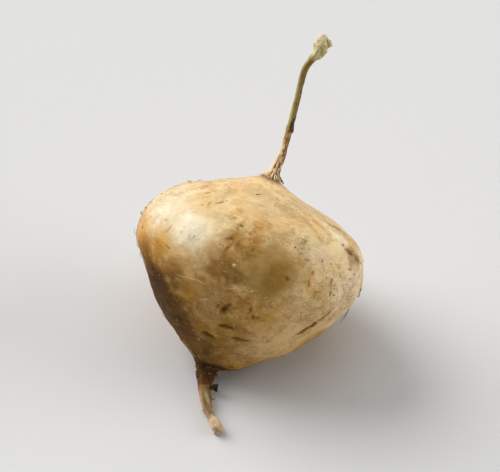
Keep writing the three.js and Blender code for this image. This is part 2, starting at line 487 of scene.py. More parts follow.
def groove(q, rim, rim_at, rim_reach, steepness):
    """Relief across a mark whose edge is at 1: sunk in the middle, with a raised rim outside."""
    return rim * bell(q, rim_at, rim_reach) - np.exp(-(q**2) * steepness)


dice = random.Random(SKIN_SEED)
height = np.zeros(len(smooth))  # along the normal
cork = np.zeros(len(smooth))  # 0 to 1, how dark and corky the skin is
ragged = wander(smooth, 1.9, 2, seed=1)  # roughens the edges of the marks

# Where small dark flecks are thick: on the right, low down, and in patches.
flecked = 0.15 + 0.5 * step(0.1, 0.5, wander(smooth, 16, 3, seed=15))
for where, width in FLECKED_AREAS:
    flecked = np.maximum(flecked, step(1.2, 0.3, from_place(where, width)))
flecked = np.maximum(flecked, past(60, 88))
calm = np.max([step(1.25, 0.5, from_place(where, width)) for where, width in CALM_AREAS], axis=0)
flecked *= 1 - 0.85 * calm


def press(where, long, wide, tilt, depth, dark):
    """Presses one mark into the skin, with a raised rim."""
    centre = spot(*where)
    reach = 1.2 * max(long, wide) + 1
    near = np.nonzero(((smooth - centre[0]) ** 2).sum(axis=1) < reach**2)[0]
    q = oval(smooth[near], centre, long, wide, tilt) * (1 + 0.5 * ragged[near])
    height[near] += depth * groove(q, rim=0.35, rim_at=1.4, rim_reach=0.35, steepness=1.3)
    cork[near] = np.maximum(cork[near], dark * np.exp(-(q**2) * 0.55))


for below, turn, *mark in SCARS:
    press((below, turn), *mark)


def scattered(count, highest, lowest, rng):
    """Random places on the root, most of them where flecks are thick."""
    while count:
        below, turn = rng.uniform(highest, lowest), rng.uniform(0, 360)
        if rng.random() < flecked[nearest(below, turn)]:
            count -= 1
            yield below, turn


for where in scattered(RANDOM_SLITS, 12, 84, dice):
    long, wide = dice.uniform(1.2, 3.6), dice.uniform(0.6, 1.1)
    press(where, long, wide, dice.gauss(10, 30), dice.uniform(0.08, 0.22), dice.uniform(0.25, 0.55))
for where in scattered(RANDOM_PITS, 6, 86, dice):
    wide = dice.uniform(0.8, 1.5)
    long = wide * dice.uniform(1, 1.8)
    press(where, long, wide, dice.uniform(0, 90), dice.uniform(0.05, 0.16), dice.uniform(0.15, 0.45))

# A crack narrows towards its ends: to_end is 0 at its middle and 1 at its ends.
crack_width = wander(smooth, 4.5, 1, seed=17)
for places, wide, depth in CRACKS:
    line = through([spot(*p)[0] for p in places], 6)
    to_end = np.linalg.norm(smooth - line[len(line) // 2], axis=1) / (lengths(line)[-1] / 2)
    taper = np.sqrt(np.clip(1.1 - to_end**2, 0.1, 1))
    q = from_line(smooth, line) / (wide / 2 * taper) * (1 + 0.6 * ragged + 0.7 * crack_width)
    height += depth * groove(q, rim=0.4, rim_at=1.5, rim_reach=0.4, steepness=1)
    cork = np.maximum(cork, (0.45 + 0.85 * depth) * np.exp(-(q**2) * 0.4))

WRINKLE_SQUEEZE = 3.4  # squeezes noise along the axis, so that it runs round the root
CROWN_RIDGES = 17
TAIL_START, TAIL_FULL = 90, 95  # distances below the crown between which the tail's own skin sets in
TAIL_TWIST = 3.5  # degrees for each millimetre along the tail
TORN_START, TORN_FULL = 116, 124
TAIL_END = ROOT_PROFILE[-1][1]
COLLAR_AT = 93.5  # a raised collar on the left of the neck

# The outer skin has rubbed away in patches, which lie a little lower than what is left of it.
worn = step(-0.06, 0.1, wander(smooth, 13, 4, seed=2) - 0.24 + 0.24 * past(45, 5))
worn *= past(62, 40)
height -= 0.08 * worn

# Lumps of three sizes, rings of wrinkles where the root narrows to its tail, and ridges at the crown.
height += 0.8 * wander(smooth, 24, 2, seed=3) * on_body
coarse = past(22, 60)  # the shoulders are sleek
height += (0.14 + 0.14 * coarse) * wander(smooth, 8, 2, seed=4)
height += (0.045 + 0.055 * coarse) * wander(smooth, 2.6, 2, seed=5)
squeezed = smooth + np.outer(along_root * WRINKLE_SQUEEZE, AXIS)
wrinkles = wander(squeezed, 7.5, 2, seed=6)
height += wrinkles * (0.07 + 0.28 * past(68, 88) * past(101, 95))
ridges = np.sin(np.radians(turn_round) * CROWN_RIDGES + 2.5 * wander(smooth, 5, 1, seed=7))
height += 0.14 * ridges * past(13, 5) * past(0.5, 3)

# The tail is ridged lengthwise, knobbly, and split at its torn end.
on_tail = past(TAIL_START, TAIL_FULL)
tail_degrees = np.degrees(np.arctan2(upright[:, 0], upright[:, 2]))
tail_turn = np.radians(tail_degrees + TAIL_TWIST * (along_root - TAIL_START))
strands = 0.6 * np.sin(3 * tail_turn + 0.4) + 0.4 * np.sin(5 * tail_turn + 1.9)
lumps = wander(smooth, 4.2, 2, seed=9)
height += on_tail * (0.22 * strands * past(TAIL_START, 99) + 0.3 * lumps)
height += on_tail * 0.16 * wander(smooth, 1.3, 2, seed=10)
torn = past(TORN_START, TORN_FULL)
splits = np.sin(4 * tail_turn + 0.8)
height += torn * (0.22 * splits * past(TAIL_END, 125) + 0.15 * lumps)
height += torn * (0.3 * wander(smooth, 1.1, 2, seed=16) - 0.3)
height -= 1.3 * past(125.5, 128.5)
height += 0.5 * bell(along_root, COLLAR_AT, 2) * step(0.2, 0.9, -smooth_normals[:, 0])

rough = smooth + smooth_normals * height[:, None]
rough[:, 2] = np.maximum(rough[:, 2], 0)
skin_mesh.vertices.foreach_set("co", (rough * MM).ravel())
skin_mesh.update()

# ---- the skin's colours ---------------------------------------------------------------------------

GOLD = srgb(206, 160, 86)
LOW_GOLD = srgb(182, 136, 56)
TAN = srgb(217, 184, 126)
CREAM = srgb(232, 209, 162)
PINK_TAN = srgb(222, 185, 140)
# The next four colours are for painted highlights.
PAINTED_SHEEN_CREAM = srgb(223, 206, 172)
PAINTED_HIGHLIGHT_WARM = srgb(242, 216, 166)
PAINTED_HIGHLIGHT_BRIGHT = srgb(252, 236, 198)
PAINTED_HIGHLIGHT_WHITE = srgb(238, 225, 199)
RIM_ORANGE = srgb(226, 166, 100)
LOW_TAN = srgb(216, 182, 130)
GREY_TAN = srgb(200, 174, 130)
PALE_GREY_TAN = srgb(222, 198, 162)
OLIVE_BROWN = srgb(142, 102, 14)
OLIVE_TAN = srgb(166, 130, 64)
GREY_BROWN = srgb(192, 158, 106)
HONEY = srgb(214, 164, 84)
OCHRE = srgb(176, 120, 18)
WARM_BROWN = srgb(150, 98, 10)
# The next three colours are for stains and soil and also for painted shade; the middle one is only for
# painted shade.
STAIN_AND_SHADE = srgb(94, 60, 4)
PAINTED_SHADOW_BROWN = srgb(66, 40, 1)
SOIL_AND_SHADE = srgb(66, 40, 8)
TAIL_BROWN = srgb(94, 57, 16)
TAIL_TAN = srgb(130, 99, 58)
TAIL_GREY = srgb(138, 118, 88)
TAIL_PINK = srgb(196, 142, 110)
TAIL_GREEN = srgb(122, 124, 56)
TAIL_CREAM = srgb(216, 191, 162)
SCUFF_CREAM = srgb(230, 202, 146)
FLECK_BROWN = srgb(118, 80, 22)
CORK_HALO = srgb(134, 90, 28)
CORK_BROWN = srgb(128, 94, 40)
CORK_DARK = srgb(70, 44, 6)
LENTICEL_TAN = srgb(196, 172, 128)

# Soft blots: place, width across, colour, strength. Some are painted shade and painted highlights.
BLOTS = [
    # painted shade: brown and dark brown blots down the left flank and low on the left front
    ((58, 114), 18, WARM_BROWN, 0.5), ((45, 152), 16, OCHRE, 0.7), ((50, 152), 16, WARM_BROWN, 0.8),
    ((66, 182), 44, WARM_BROWN, 0.5), ((77, 190), 34, STAIN_AND_SHADE, 0.45), ((57, 149), 24, STAIN_AND_SHADE, 0.85),
    ((67, 144), 34, STAIN_AND_SHADE, 0.95), ((79, 130), 28, STAIN_AND_SHADE, 0.8), ((70, 122), 24, STAIN_AND_SHADE, 0.4),
    ((64, 158), 30, PAINTED_SHADOW_BROWN, 0.75), ((75, 154), 24, PAINTED_SHADOW_BROWN, 0.7), ((80, 100), 18, STAIN_AND_SHADE, 0.1),
    # a painted highlight on the upper left shoulder, in cream, with tan blots above it and golden ones
    # below; then brown painted shade on the flank
    ((13, 152), 14, PINK_TAN, 0.4), ((24, 160), 30, PAINTED_SHEEN_CREAM, 0.75),
    ((28, 130), 36, PAINTED_SHEEN_CREAM, 0.9), ((35, 117), 22, PAINTED_HIGHLIGHT_WARM, 0.85), ((28, 109), 12, CREAM, 0.8),
    ((19, 128), 16, TAN, 0.7), ((21, 121), 14, TAN, 0.65), ((35.2, 121), 18, PAINTED_HIGHLIGHT_BRIGHT, 0.9),
    ((32, 148), 13, PAINTED_HIGHLIGHT_WHITE, 0.6), ((33, 122), 15, PAINTED_HIGHLIGHT_WHITE, 0.75), ((42, 136), 14, HONEY, 0.75),
    ((45, 122), 14, HONEY, 0.5), ((47, 139), 14, OCHRE, 0.8), ((51, 131), 13, WARM_BROWN, 0.6),
    ((57, 124), 12, STAIN_AND_SHADE, 0.3), ((38, 158), 9, RIM_ORANGE, 0.6), ((40, 87), 15, OLIVE_TAN, 0.5),
    # brown and olive patches in the middle of the front, and paler ones round the top and on the right
    ((42.2, 102.5), 12, WARM_BROWN, 0.75), ((37.2, 107), 9, TAN, 0.5),
    ((31.8, 93.5), 8, OLIVE_BROWN, 0.4), ((28, 94), 8, OLIVE_TAN, 0.4), ((45, 92), 9, OLIVE_BROWN, 0.7),
    ((52, 98), 14, WARM_BROWN, 0.4), ((27, 89), 10, OCHRE, 0.65), ((20, 88), 8, OCHRE, 0.35),
    ((29, 101), 9, OLIVE_BROWN, 0.45), ((12, 104), 18, CREAM, 0.2), ((11, 88), 12, TAN, 0.5),
    ((14, 80), 15, PINK_TAN, 0.6), ((10, 80), 28, GREY_TAN, 0.65), ((8, 38), 20, GREY_TAN, 0.6),
    ((14.5, 82), 10, GREY_TAN, 0.5), ((22, 60), 14, CREAM, 0.45), ((18, 40), 18, CREAM, 0.5),
    ((27, 24), 22, PALE_GREY_TAN, 0.75), ((42, 20), 30, PALE_GREY_TAN, 0.85),
    ((25, 55), 14, PALE_GREY_TAN, 0.6), ((36, 41), 14, PALE_GREY_TAN, 0.6),
    # a second, weaker painted highlight on the right shoulder
    ((15.5, 38), 13, PAINTED_HIGHLIGHT_WARM, 0.45), ((15.5, 32), 10, PAINTED_HIGHLIGHT_WHITE, 0.5),
    # marks and patches on the right, low down and round the back
    ((20.8, 25), 10, WARM_BROWN, 0.55), ((12.4, 22), 9, WARM_BROWN, 0.45),
    ((50, 44), 20, GREY_TAN, 0.5), ((70, 45), 35, LOW_TAN, 0.8), ((56, 34), 26, LOW_TAN, 0.65),
    ((50, 68), 14, OLIVE_TAN, 0.4), ((47, 61), 9, OLIVE_TAN, 0.25), ((63, 100), 17, GREY_BROWN, 0.5),
    ((56, 103), 10, GREY_BROWN, 0.3), ((33.5, 60), 9, OLIVE_TAN, 0.4), ((22, 58), 12, CREAM, 0.35),
    ((64, 66), 14, LOW_GOLD, 0.35), ((72, 76), 20, OLIVE_BROWN, 0.4), ((60, 10), 16, WARM_BROWN, 0.3),
    ((40, 170), 18, WARM_BROWN, 0.4), ((30, 220), 20, OLIVE_BROWN, 0.5), ((45, 255), 24, PINK_TAN, 0.5),
    ((20, 300), 18, CREAM, 0.5), ((58, 290), 20, STAIN_AND_SHADE, 0.5), ((36, 335), 20, WARM_BROWN, 0.4),
]

# The bruise: a round olive stain with a browner middle. Place and width across of each.
BRUISE = (38, 75)
BRUISE_WIDTH = 25
BRUISE_CORE = (40.5, 71.5)
CORE_WIDTH = 17

mottle = wander(smooth, 9, 3, seed=12)
marble = wander(smooth, 4.5, 3, seed=14)
to_right = smooth_normals[:, 0]  # 1 where the skin faces right, and -1 where it faces left
on_left = step(0.2, -0.3, to_right)
green_band = past(103.5, 105.5, lumps) * past(111.5, 109, lumps)
bruise = step(1.12, 0.74, from_place(BRUISE, BRUISE_WIDTH) + 0.15 * mottle)
bruise_core = step(1.25, 0.4, from_place(BRUISE_CORE, CORE_WIDTH) + 0.2 * mottle)


def blot(where, width, hue, strength):
    """A layer of colour for one soft blot, with a wandering edge."""
    off = from_place(where, width)
    return strength * step(1.25, 0.5, off + 0.4 * mottle + 0.25 * marble), hue


tint = layered(
    GOLD,
    # the whole root: paler above, golden below
    (past(44, 66, 10 * mottle), LOW_GOLD),
    (0.8 * step(-0.3, 0.35, wander(smooth, 22, 3, seed=13)) * past(70, 40), TAN),
    (0.85 * past(40, 12, 10 * mottle), TAN),
    (0.5 * past(30, 8, 8 * mottle), PINK_TAN),
    (0.4 * step(0.1, 0.45, marble), PINK_TAN),
    (0.35 * step(-0.1, -0.4, marble), OCHRE),
    (0.5 * worn, CREAM),
    *(blot(*each) for each in BLOTS),
    (0.62 * bruise, OLIVE_TAN),
    (0.74 * bruise_core, OLIVE_BROWN),
    # the neck: stained and dark with soil, and also with painted shade under the body, the most on its
    # left
    ((0.05 + 0.42 * on_left) * past(62, 88, 7 * mottle), STAIN_AND_SHADE),
    ((0.4 + 0.45 * on_left) * past(82, 90, 3 * marble), SOIL_AND_SHADE),
    # the tail: brown, then tan with a green band, and greyer and paler towards its torn end
    # the brown from the neck to a crisp edge near 100 mm is partly the tail's own colour and partly a
    # painted shadow of the body
    (on_tail, TAIL_BROWN),
    # painted shade on the left of the neck and the top of the tail
    (0.8 * on_left * past(84, 88) * past(99, 95), PAINTED_SHADOW_BROWN),
    (0.7 * step(-0.1, 0.5, lumps) * past(92, 96), SOIL_AND_SHADE),
    (past(99.5, 101, 1.5 * lumps), TAIL_TAN),
    (0.75 * green_band * step(0.6, 0.0, to_right + 0.4 * marble), TAIL_GREEN),
    (0.8 * step(-0.2, -0.7, strands) * past(100, 104), TAIL_BROWN),
    (0.35 * step(0.45, 0.8, strands) * past(103, 107), TAIL_CREAM),
    (0.75 * step(-0.4, -0.75, to_right) * past(101, 104), TAIL_PINK),
    (0.75 * past(110, 113) * past(120, 116), TAIL_GREY),
    (0.9 * past(116, 121, 3 * marble), TAIL_CREAM),
    (0.35 * torn * step(-0.3, -0.8, splits + 0.5 * marble), TAIL_GREY),
    (0.4 * torn * step(0.1, 0.5, marble), TAIL_PINK),
    # the crown: brown cork round the foot of the vine, and a darker ring right at the foot, painted
    # shade where vine and crown meet
    (0.25 * past(4.6, 2.2, 2 * marble), WARM_BROWN),
    (0.4 * past(2.6, 1.2, marble), SOIL_AND_SHADE),
)

paint(skin_mesh, "tint", tint)
weigh(skin_mesh, "cork", cork)
weigh(skin_mesh, "flecked", flecked * past(97, 92))
weigh(skin_mesh, "calm", calm)
weigh(skin_mesh, "dry", np.maximum(past(34, 58, 6 * mottle), on_tail))

# ---- materials ------------------------------------------------------------------------------------


def opaque(hue):
    return (*hue, 1)


def turn_upright(way):
    """The turn of a mapping node that sets a direction upright."""
    return tuple(Vector(way).rotation_difference(Vector((0, 0, 1))).to_euler())


class Shader:
    """Adds nodes to a material, with their sockets set or linked by name."""

    def __init__(self, name):
        self.material = bpy.data.materials.new(name)
        self.material.use_nodes = True
        self.tree = self.material.node_tree
        self.surface = self.tree.nodes["Principled BSDF"]

    def join(self, node, sockets):
        for key, value in sockets.items():
            if isinstance(value, bpy.types.NodeSocket):
                self.tree.links.new(value, node.inputs[key])
            else:
                node.inputs[key].default_value = value

    def node(self, kind, sockets=None, **settings):
        node = self.tree.nodes.new("ShaderNode" + kind)
        for key, value in settings.items():
            setattr(node, key, value)
        self.join(node, sockets or {})
        return node

    def tint(self):
        """The colour kept at each point of the mesh."""
        return self.node("Attribute", attribute_name="tint").outputs["Color"]

    def weight(self, name):
        """A number kept at each point of the mesh."""
        return self.node("Attribute", attribute_name=name).outputs["Fac"]

    def millimetres(self, stretch=(1, 1, 1), turn=(0, 0, 0)):
        """The object's own coordinates in millimetres, turned and then stretched."""
        here = self.node("TexCoord").outputs["Object"]
        turned = self.node("Mapping", {"Vector": here, "Rotation": turn})
        scale = [s / MM for s in stretch]
        return self.node("Mapping", {"Vector": turned.outputs[0], "Scale": scale}).outputs[0]

    def noise(self, where, size, detail=3, rough=0.55, distortion=0.0):
        sockets = {"Vector": where, "Scale": 1 / size, "Detail": detail}
        sockets |= {"Roughness": rough, "Distortion": distortion}
        return self.node("TexNoise", sockets).outputs["Fac"]

    def cells(self, where, size):
        return self.node("TexVoronoi", {"Vector": where, "Scale": 1 / size}).outputs["Distance"]

    def contours(self, where, size, wide):
        """Thin curling lines, where a noise crosses its middle value."""
        from_middle = self.node("Math", operation="ABSOLUTE")
        self.join(from_middle, {0: self.sum(self.noise(where, size, 2, 0.5, 0.7), -0.5)})
        return self.range(from_middle.outputs[0], wide, 0.3 * wide)

    def range(self, value, low, high, to_low=0.0, to_high=1.0):
        """Runs smoothly from to_low to to_high as the value goes from low to high."""
        sockets = {"Value": value, "From Min": low, "From Max": high}
        sockets |= {"To Min": to_low, "To Max": to_high}
        return self.node("MapRange", sockets, interpolation_type="SMOOTHSTEP").outputs["Result"]

    def sum(self, *values, operation="ADD"):
        total = values[0]
        for value in values[1:]:
            node = self.node("Math", operation=operation)
            self.join(node, {0: total, 1: value})
            total = node.outputs[0]
        return total

    def product(self, *values):
        return self.sum(*values, operation="MULTIPLY")

    def blend(self, *weighted, base=0):
        """The sum of a base and of values, each times its weight."""
        return self.sum(*(self.product(value, weight) for value, weight in weighted), base)

    def mix(self, share, first, second, blend="MIX"):
        node = self.node("Mix", data_type="RGBA", blend_type=blend)
        second = opaque(second) if isinstance(second, tuple) else second
        self.join(node, {0: share, 6: first, 7: second})
        return node.outputs[2]

    def ramp(self, value, *stops):
        """A colour ramp through (place, colour) stops."""
        node = self.node("ValToRGB", {"Fac": value})
        elements = node.color_ramp.elements
        while len(elements) < len(stops):
            elements.new(0.5)
        for element, (place_at, hue) in zip(elements, stops):
            element.position = place_at
            element.color = opaque(hue)
        return node.outputs["Color"]

    def bump(self, height, distance):
        return self.node("Bump", {"Height": height, "Distance": distance * MM}).outputs["Normal"]

    def finished(self, hue, roughness, gloss, normal, **more):
        """The material, once its surface has been set."""
        sockets = {"Base Color": hue, "Roughness": roughness, "Specular IOR Level": gloss}
        self.join(self.surface, {**sockets, "Normal": normal, **more})
        return self.material


SKIN_ROUGHNESS = 0.38
SKIN_GLOSS = 0.2
SKIN_BUMP = 0.28
# Light that enters the skin and comes out near by.
FLESH = {
    "Subsurface Weight": 0.05,
    "Subsurface Radius": (1.0, 0.45, 0.2),
    "Subsurface Scale": 1.5 * MM,
}
STALK_GLOSS = 0.35
DUST_GLOSS = 0.2


def skin_material():
    """Thin dry skin: mottled tan, with pale scuffs, dark flecks, corky scars and fine wrinkles."""
    s = Shader("root_skin")
    here = s.millimetres()
    round_root = s.millimetres(stretch=(1, 1, 4), turn=turn_upright(AXIS))
    down_root = s.millimetres(stretch=(4, 4, 1), turn=turn_upright(AXIS))
    cork_here, flecked_here = s.weight("cork"), s.weight("flecked")
    lively = s.range(s.weight("calm"), 0, 1, 1, 0.45)  # how strong the skin's small markings are

    clouds = s.noise(here, 5, 4, 0.6)
    grain = s.noise(here, 0.7, 3, 0.6)
    streaks = s.noise(round_root, 3.2, 4, 0.62, 0.4)
    fibres = s.noise(round_root, 1.1, 3, 0.6)
    shade = s.blend((clouds, 0.4), (streaks, 0.3), (fibres, 0.12), (grain, 0.1), base=0.04)
    stops = (0.34, (0.72, 0.66, 0.52)), (0.5, (1, 0.99, 0.95)), (0.64, (1.15, 1.16, 1.18))
    uneven = s.ramp(shade, *stops)
    hue = s.mix(lively, s.tint(), uneven, "MULTIPLY")

    # Patches of the outermost skin, a little darker, with clear edges.
    patch = s.range(s.noise(s.millimetres(turn=(1.3, 0.2, 0.7)), 9, 4, 0.6, 0.5), 0.53, 0.56)
    hue = s.mix(s.product(patch, lively, 0.3), hue, (0.5, 0.4, 0.25), "MULTIPLY")

    # Pale scuffs and scurf, some running round the root and some down it.
    drift = s.range(s.noise(here, 8, 3, 0.6), 0.46, 0.6)
    scuffs = s.product(s.range(s.noise(round_root, 2.4, 3, 0.5, 0.8), 0.59, 0.68), drift)
    long_marks = s.range(s.noise(down_root, 2.6, 2, 0.5, 1.2), 0.62, 0.7)
    scratches = s.product(long_marks, s.range(clouds, 0.45, 0.6))
    scurf_cells = s.sum(s.cells(here, 2.2), s.product(s.noise(here, 0.9, 2), 0.9))
    scurf = s.product(s.range(scurf_cells, 0.72, 0.58), drift)
    curls = s.contours(s.millimetres(turn=(0.4, 1.9, 0.3)), 3.4, 0.024)
    pale_lines = s.product(curls, s.range(streaks, 0.47, 0.53))
    pale = s.blend((scuffs, 0.5), (scratches, 0.45), (scurf, 0.4), (pale_lines, 0.5))
    lighter = s.mix(1.0, hue, (1.5, 1.55, 1.7), "MULTIPLY")
    pale_hue = s.mix(0.3, lighter, SCUFF_CREAM)
    hue = s.mix(s.product(s.range(pale, 0, 1, 0, 0.7), lively), hue, pale_hue)

    # Short dark strokes, curling cracks and flecks, thicker in some places.
    thick = s.range(s.sum(s.noise(here, 7, 3), s.product(flecked_here, 0.28)), 0.53, 0.72)
    strokes = s.range(s.noise(round_root, 1.9, 3, 0.55, 0.9), 0.59, 0.69)
    cracks = s.product(s.contours(here, 2.7, 0.046), s.range(s.noise(here, 4.3, 2), 0.48, 0.54))
    fleck_cells = s.sum(s.cells(here, 2.7), s.product(s.noise(here, 0.8, 2), 0.6))
    flecks = s.range(fleck_cells, 0.56, 0.4)
    dark = s.product(s.blend((strokes, 0.5), (cracks, 0.62), (flecks, 0.5)), thick)
    hue = s.mix(s.range(dark, 0, 1, 0, 0.7), hue, FLECK_BROWN)

    # Cork in the scars: a brown halo, and a darker core with ragged, streaky edges.
    halo = s.range(s.sum(cork_here, s.product(s.sum(clouds, -0.5), 0.5)), 0.1, 0.55)
    hue = s.mix(s.product(halo, 0.6), hue, CORK_HALO)
    ragged_edge = s.product(s.sum(s.noise(here, 0.8, 3), -0.5), 1.5)
    streaky_edge = s.sum(fibres, -0.5)
    core = s.range(s.sum(cork_here, s.sum(ragged_edge, streaky_edge)), 0.48, 0.8)
    core_hue = s.ramp(cork_here, (0.45, CORK_BROWN), (0.9, CORK_DARK))
    hue = s.mix(s.product(core, 0.8), hue, core_hue)

    pores = s.noise(here, 1.6, 3, 0.6)
    height = s.blend(
        (grain, 0.25), (pores, 0.6), (fibres, 0.35), (streaks, 0.6), (clouds, 0.5), (scurf, 0.4),
        (scuffs, 0.15), (pale_lines, 0.3), (dark, -0.4), (core, -0.5),
    )
    dulling = (grain, 0.12), (core, 0.3), (flecked_here, 0.1), (s.weight("dry"), 0.34)
    roughness = s.blend(*dulling, base=SKIN_ROUGHNESS)
    normal = s.bump(s.product(height, lively), SKIN_BUMP)
    return s.finished(hue, roughness, SKIN_GLOSS, normal, **FLESH)


def stalk_material(name, along, roughness):
    """Dry bark or fibre, streaked along its length, in the colours kept in the mesh."""
    s = Shader(name)
    lengthwise = s.millimetres(stretch=(1, 1, 0.14), turn=turn_upright(along))
    here = s.millimetres()
    grain = s.noise(lengthwise, 0.6, 4, 0.65, 0.3)
    blotches = s.noise(here, 2.4, 3, 0.6)
    shade = s.blend((grain, 0.6), (blotches, 0.4))
    uneven = s.ramp(shade, (0.33, (0.6, 0.56, 0.5)), (0.5, (1, 1, 1)), (0.66, (1.35, 1.33, 1.28)))
    hue = s.mix(1.0, s.tint(), uneven, "MULTIPLY")
    lenticels = s.product(s.range(s.cells(here, 1.6), 0.24, 0.14), s.range(blotches, 0.5, 0.6))
    hue = s.mix(s.product(lenticels, 0.6), hue, LENTICEL_TAN)
    relief = s.blend((grain, 0.8), (blotches, 0.3), (lenticels, 0.3))
    return s.finished(hue, s.blend((grain, 0.2), base=roughness), STALK_GLOSS, s.bump(relief, 0.22))


def dusty_material(name, roughness, relief):
    """Rough matter in the colours kept in the mesh: flakes of skin, soil, fine roots."""
    s = Shader(name)
    here = s.millimetres()
    grain = s.noise(here, 0.45, 3, 0.65)
    uneven = s.ramp(grain, (0.3, (0.62, 0.58, 0.5)), (0.5, (1, 1, 1)), (0.7, (1.25, 1.22, 1.15)))
    hue = s.mix(1.0, s.tint(), uneven, "MULTIPLY")
    return s.finished(hue, s.blend((grain, 0.2), base=roughness), DUST_GLOSS, s.bump(grain, relief))


finish_mesh(skin_mesh, skin_material())
skin = place(skin_mesh, "skin", "root_skin")
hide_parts("jicama_root")

# ---- the vine -------------------------------------------------------------------------------------

VINE_SIDES = 48
VINE_STEP = 0.33
LOWER_NODE = 21.5  # distance along the vine of the node where the bark turns from brown to green
NOTCH_AT, NOTCH_REACH, NOTCH_DEPTH = 24.6, 1.1, 0.28  # a nick in one side, just above that node
SHOOT_AT = 61  # on the upper node
SHOOT_HEADING = (0.85, 0.2, 0.45)
SHOOT_LENGTH = 5
SHOOT_RADIUS = 1.7
SHOOT_TAPER = [(0, 1), (3.5, 0.95), (5.2, 1.02)]  # distance along the shoot and share of its radius
SHOOT_SIDES = 24

# Radius of the bare stem at distances along it. Its loose fibres fill out the foot.
STEM_PROFILE = [
    (2.7, 0), (2.3, 1.4), (1.9, 4.5), (1.8, 10), (1.5, 14), (1.6, 17), (1.45, 19), (1.75, 21.5),
    (1.55, 24.5), (1.42, 27), (1.35, 36), (1.4, 44), (1.45, 50), (1.55, 54), (2.1, 57), (2.9, 59.6),
    (3.2, 62), (2.7, 64.4), (2.2, 65.8), (1.8, 66.8), (1.3, 67.3),
]

BARK_PALE = srgb(238, 212, 172)
BARK_TAN = srgb(180, 140, 84)
BARK_BROWN = srgb(134, 94, 38)
BARK_DARK = srgb(66, 38, 14)
STEM_OLIVE = srgb(136, 110, 46)
STEM_YELLOW_GREEN = srgb(172, 158, 86)
KNOB_GREY_GREEN = srgb(204, 194, 142)
STEM_GREY_GREEN = srgb(166, 156, 108)
# a colour for painted shade on the stem
STEM_PAINTED_SHADE = srgb(96, 82, 40)
CUT_PINK = srgb(226, 196, 168)


def stem_radius(along):
    """Radius of the bare stem at a distance along the vine."""
    return np.interp(along, *np.array(STEM_PROFILE).T[::-1])


vine_line = through([CROWN + AXIS * CROWN_GAP + np.array(p) for p in VINE_LINE])
STEM_END = STEM_PROFILE[-1][1]
rings_at = np.append(np.arange(0, STEM_END, VINE_STEP), STEM_END)
stem_line = at(vine_line, rings_at)
vine_turn = even_turns(VINE_SIDES)[None, :]
along_vine = rings_at[:, None]

# Ridges wind slowly up the stem. The foot is fluted, and the nodes are lumpy.
at_foot = step(11, 2, along_vine)
at_node = bell(along_vine, LOWER_NODE, 2.2)
at_knob = step(55, 58, along_vine) * step(67.5, 64.5, along_vine)
winding = 0.5 * np.sin(5 * vine_turn + 0.09 * along_vine)
winding += 0.35 * np.sin(8 * vine_turn - 0.16 * along_vine + 1)
flutes = np.sin(7 * vine_turn + 0.5 + 0.8 * np.sin(0.7 * along_vine))
notch = NOTCH_DEPTH * bell(along_vine, NOTCH_AT, NOTCH_REACH) * np.maximum(np.cos(vine_turn - 1), 0)
stem_radii = stem_radius(along_vine) * (1 + 0.07 * winding + 0.1 * at_foot * flutes) * (1 - notch)
stem_points, stem_faces = tube(stem_line, stem_radii, VINE_SIDES)
ENDS = 2  # the last two points close the tube
stem_middle = np.concatenate([np.repeat(stem_line, VINE_SIDES, axis=0), stem_line[[0, -1]]])
stem_along = np.concatenate([np.repeat(rings_at, VINE_SIDES), rings_at[[0, -1]]])
stem_out = unit(stem_points - stem_middle)
stem_out[-ENDS:] = 0
knots = wander(stem_points, 2.6, 3, seed=20)
bark = wander(stem_points * [1, 1, 0.3], 0.9, 2, seed=21)
knobbly = np.repeat((at_knob + 0.5 * at_node + 0.4 * at_foot)[:, 0], VINE_SIDES)
knobbly = np.append(knobbly, [0] * ENDS)
stem_points += stem_out * (0.75 * knobbly * knots + 0.13 * bark)[:, None]
to_left = -stem_out[:, 0]  # 1 on the left of the stem and -1 on the right


def between(values, low, high, soft):
    """1 between low and high, fading to 0 within `soft` of each."""
    return step(low - soft, low + soft, values) * step(high + soft, high - soft, values)


on_knob = step(54, 57, stem_along)
stem_tints = layered(
    STEM_OLIVE,
    # paler grey-green on the stem's left and darker on its right: painted light and painted shade across
    # the stem
    (0.8 * step(0.35, 0.8, to_left + 0.5 * bark), STEM_GREY_GREEN),
    (0.8 * step(-0.2, -0.8, to_left + 0.5 * bark), STEM_PAINTED_SHADE),
    (between(stem_along, 24, 32, 2) * step(0.1, 0.6, to_left), STEM_YELLOW_GREEN),
    (0.7 * between(stem_along, 45, 51, 2), STEM_OLIVE),
    (between(stem_along, 20.6, 27.5, 1.2) * step(0.25, -0.25, to_left + 0.4 * bark), BARK_DARK),
    (between(stem_along, -1, 20.6, 0.7), BARK_BROWN),
    (between(stem_along, 15, 20.6, 1) * step(-0.3, 0.3, to_left + bark), BARK_TAN),
    (between(stem_along, -1, 16, 2) * step(-0.4, 0.1, to_left + 0.8 * bark), BARK_PALE),
    (0.4 * step(-0.15, -0.45, bark) * step(22, 19, stem_along), BARK_DARK),
    (0.8 * step(0.15, 0.4, bark) * step(9, 5, stem_along), BARK_PALE),
    (on_knob, KNOB_GREY_GREEN),
    (0.7 * on_knob * step(0.0, -0.35, knots), STEM_YELLOW_GREEN),
    (0.45 * on_knob * step(0.1, 0.4, bark), STEM_OLIVE),
    (0.9 * step(64.6, 66, stem_along + 1.2 * knots), CUT_PINK),
)

vine = Build()
vine.add(stem_points, stem_faces, stem_tints)


